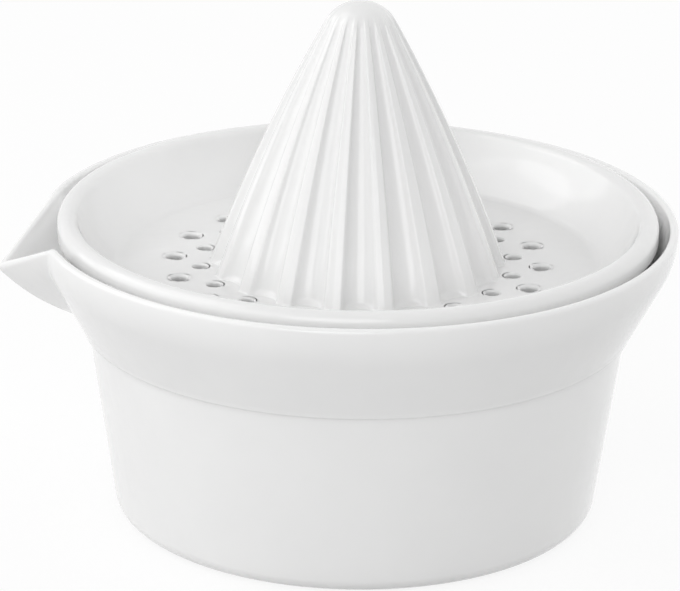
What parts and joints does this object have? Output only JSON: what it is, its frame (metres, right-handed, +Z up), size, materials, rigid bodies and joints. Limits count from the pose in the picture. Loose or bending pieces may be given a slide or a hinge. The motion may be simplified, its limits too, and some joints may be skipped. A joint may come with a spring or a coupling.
{
  "type": "citrus juicer",
  "caption": "Glazed porcelain citrus juicer: a bowl with a flared collar and a pouring spout, and a lift-out strainer dish with a ribbed reaming cone.",
  "frame": {"origin": "middle of the bowl's flat base, on the table", "axes": "+Z up along the bowl's and the cone's common axis; the spout points along -X; -Y is the side that the picture shows"},
  "size_m": [0.1433, 0.135, 0.1116],
  "materials": {
    "porcelain": "smooth clear gloss glaze over white porcelain"
  },
  "bodies": {
    "bowl": {"juice_bowl": "porcelain"},
    "insert": {"reamer_strainer": "porcelain"}
  },
  "joints": [
    {"name": "insert_lift", "type": "slide", "parent": "bowl", "child": "insert", "axis": [0, 0, 1], "range_m": [0, 0.08]}
  ]
}
